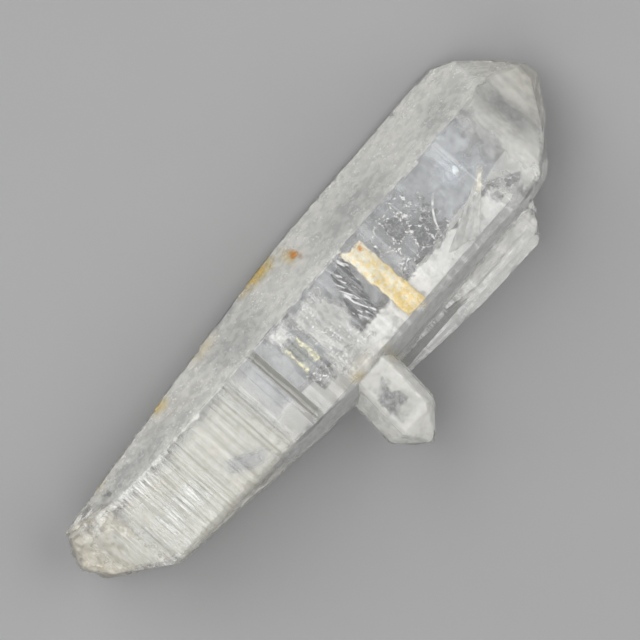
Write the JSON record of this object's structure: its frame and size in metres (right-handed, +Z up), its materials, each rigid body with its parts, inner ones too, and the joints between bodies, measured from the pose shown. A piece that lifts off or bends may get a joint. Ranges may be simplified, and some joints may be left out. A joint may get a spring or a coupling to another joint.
{
  "type": "quartz point",
  "caption": "Natural quartz point lying on a prism face: a long tapered crystal with a broken base, a parallel crystal grown along its side and a short point grown out across it.",
  "frame": {"origin": "middle of the bounding box, at the height of the flat underside that the crystal lies on", "axes": "+X along the long crystal from its broken base to its tip, +Z up, -Y towards the short side point"},
  "size_m": [0.0838, 0.0315, 0.0134],
  "materials": {
    "quartz": "natural crystal faces, glossy to finely striated, with a rough broken base"
  },
  "bodies": {
    "root": {"quartz_point": "quartz"}
  },
  "joints": []
}
